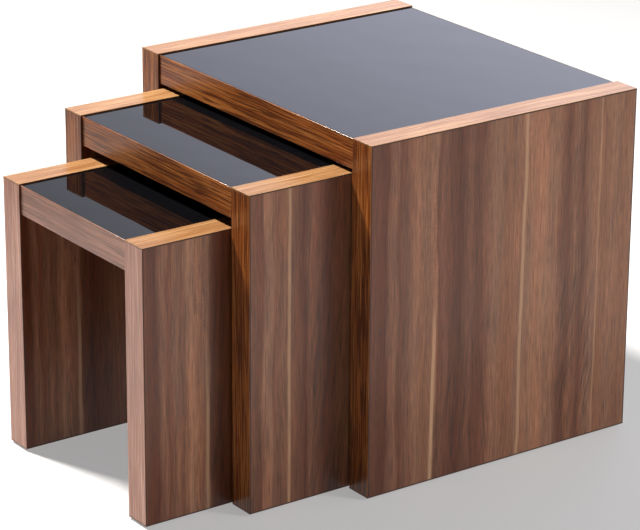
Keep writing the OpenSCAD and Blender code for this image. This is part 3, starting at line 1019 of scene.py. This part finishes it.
# for each fitting: its shape, material and the record's slot, then where its copies stand in the CAD node's
# box: in from the sides, in from front and rear, how many rows, how far up
fittings = {
    "cam_bolts": ("bolt_set", boltShape, zincPlate, "zinc_fitting",
                  (bolt["inPanel"], bolt["radius"], 2, 0.5)),
    "dowels": ("dowel_set", dowelShape, beechDowel, "beech_dowel",
               (dowel["inPanel"], dowel["radius"], 3, 0.5)),
    "cam_caps": ("cap_set", capShape, capPlastic, "brown_plastic", (cap["radius"], cap["radius"], 2, 0.0)),
    "glides": ("glide_feet", lathe(glide["section"], glide["segments"]), glidePlastic, "black_plastic",
               (glide["radius"], glide["radius"], 2, 0.0)),
    "glide_nails": ("glide_nails", lathe(glide["nail"], glide["nailSegments"]), zincPlate, "zinc_fitting",
                    (glide["radius"], glide["radius"], 2, 0.0)),
}
repeatPiece = repeatTree()
for label, (pieceName, shape, material, slotName, place) in fittings.items():
    template = templateObject(label + "_template", shape, material)
    for table in tableNames:
        node = table + "_" + label.replace("glide_nails", "glides")
        mesh = bakeTree(f"{table}_{pieceName}", repeatPiece, {"Piece": template, "Material": material},
                        fittingPlaces(node, *place))
        piece = bpy.data.objects.new(mesh.name, mesh)
        bpy.context.scene.collection.objects.link(piece)
        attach(piece, table + "_table")
        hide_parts(node)
    bpy.data.objects.remove(template)
print("Fittings made:", len(fittings))


# Stage, light and camera
studio = {
    "floorTone": (0.36, 0.36, 0.36, 1),
    "floorRoughness": 0.7,
    "floorGlow": 0.33,              # the floor is a lit table, so shadows on it stay pale
    "floorSize": 30.0,
    "fadeTowards": (-0.77, -0.64),
    "fadeStart": 1180.0,            # millimetres from the origin along fadeTowards
    "fadeEnd": 1520.0,
    "fadeLeft": 0.42,
    "openSky": (0.24, 0.25, 0.26, 1),
    # each lobe of the sky: its tone, where it lies, and the cosines where it starts and is full
    "lobes": {
        "dimFront": ((0.06, 0.06, 0.07, 1), (-0.30, -0.95, 0.10), -0.25, 0.45),
        "litSide": ((0.56, 0.54, 0.52, 1), (0.80, 0.55, 0.24), 0.30, 0.95),
        "whiteWall": ((2.08, 2.13, 2.62, 1), (-0.52, 0.84, -0.17), 0.72, 0.93),
    },
    # which way each light lies, how far off, how wide, its power, its colour and whether glass mirrors it
    "lights": {
        "keyLight": ((-1.0, -0.50, 2.0), 3.2, 0.34, 350.0, (1.0, 0.97, 0.92), True),
        "sideLight": ((0.76, 0.50, 0.38), 3.2, 0.75, 43.0, (1.0, 0.97, 0.95), False),
    },
}
view = {
    # where the camera stands, in metres from the middle of the large table's front edge on the floor
    "stand": (3.3244, -2.2675, 1.7446),
    "turn": 0.9487,     # radians, like tilt and roll
    "tilt": -0.3548,
    "roll": 0.0063,
    "lens": 174.8,
    "clipEnd": 100.0,
}


def makeFloor():
    half = studio["floorSize"] / 2
    floor = makeObject("floor", [(-half, -half, 0), (half, -half, 0), (half, half, 0), (-half, half, 0)],
                       [[0, 1, 2, 3]], [])
    material, tree, shader = newMaterial("paleFloor", Roughness=studio["floorRoughness"],
                                         Emission_Color=(1.0, 1.0, 1.0, 1.0))
    x, y = objectAxes(tree)[:2]
    # painted shade: its tone and its glow fall off away to the front left, as a dimmer studio there
    away = [calc(tree, "MULTIPLY", axis, share) for axis, share in zip((x, y), studio["fadeTowards"])]
    fade = smoothStep(tree, addUp(tree, away), studio["fadeEnd"], studio["fadeStart"])
    near = studio["floorTone"]
    far = tuple(c * studio["fadeLeft"] for c in near[:3]) + (1,)
    feed(tree, shader.inputs["Base Color"], mixColour(tree, fade, far, near))
    glow = calc(tree, "ADD", calc(tree, "MULTIPLY", fade, 1 - studio["fadeLeft"]), studio["fadeLeft"])
    feed(tree, shader.inputs["Emission Strength"], calc(tree, "MULTIPLY", glow, studio["floorGlow"]))
    floor.data.materials.append(material)


def skyLobe(tree, direction, towards, low, high):
    dot = addNode(tree, "ShaderNodeVectorMath", operation="DOT_PRODUCT")
    feed(tree, dot.inputs[0], direction)
    dot.inputs[1].default_value = Vector(towards).normalized()
    return smoothStep(tree, dot.outputs["Value"], low, high)


def makeSky():
    # a pale studio, dim in front of the tables, with a white wall behind them and a lit side to their right
    world = bpy.data.worlds.new("studio")
    world.use_nodes = True
    tree = world.node_tree
    direction = addNode(tree, "ShaderNodeTexCoord").outputs["Generated"]
    colour = studio["openSky"]
    for tone, towards, low, high in studio["lobes"].values():
        colour = mixColour(tree, skyLobe(tree, direction, towards, low, high), colour, tone)
    feed(tree, tree.nodes["Background"].inputs["Color"], colour)
    bpy.context.scene.world = world


def makeLight(name, towards, distance, size, power, colour, mirrored):
    light = bpy.data.lights.new(name, "AREA")
    light.shape = "DISK"
    light.size = size
    light.energy = power
    light.color = colour
    lamp = bpy.data.objects.new(name, light)
    bpy.context.scene.collection.objects.link(lamp)
    lamp.visible_glossy = mirrored
    towards = Vector(towards).normalized()
    lamp.location = (cadLow + cadHigh) / 2 + towards * distance
    lamp.rotation_euler = towards.to_track_quat("Z", "Y").to_euler()


def makeCamera():
    turn, tilt = view["turn"], view["tilt"]
    data = bpy.data.cameras.new("camera")
    data.lens = view["lens"]
    data.clip_end = view["clipEnd"]
    camera = bpy.data.objects.new("camera", data)
    bpy.context.scene.collection.objects.link(camera)
    camera.location = Vector(view["stand"]) + Vector((0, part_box("large_left_front_edging")[0].y, 0))
    look = Vector((-math.sin(turn) * math.cos(tilt), math.cos(turn) * math.cos(tilt), math.sin(tilt)))
    level = look.to_track_quat("-Z", "Y")
    camera.rotation_euler = (level @ Quaternion((0, 0, 1), view["roll"])).to_euler()
    bpy.context.scene.camera = camera


makeFloor()
makeSky()
for name, settings in studio["lights"].items():
    makeLight(name, *settings)
makeCamera()
bpy.context.scene.view_settings.view_transform = "Standard"
print("Stage, light and camera set")
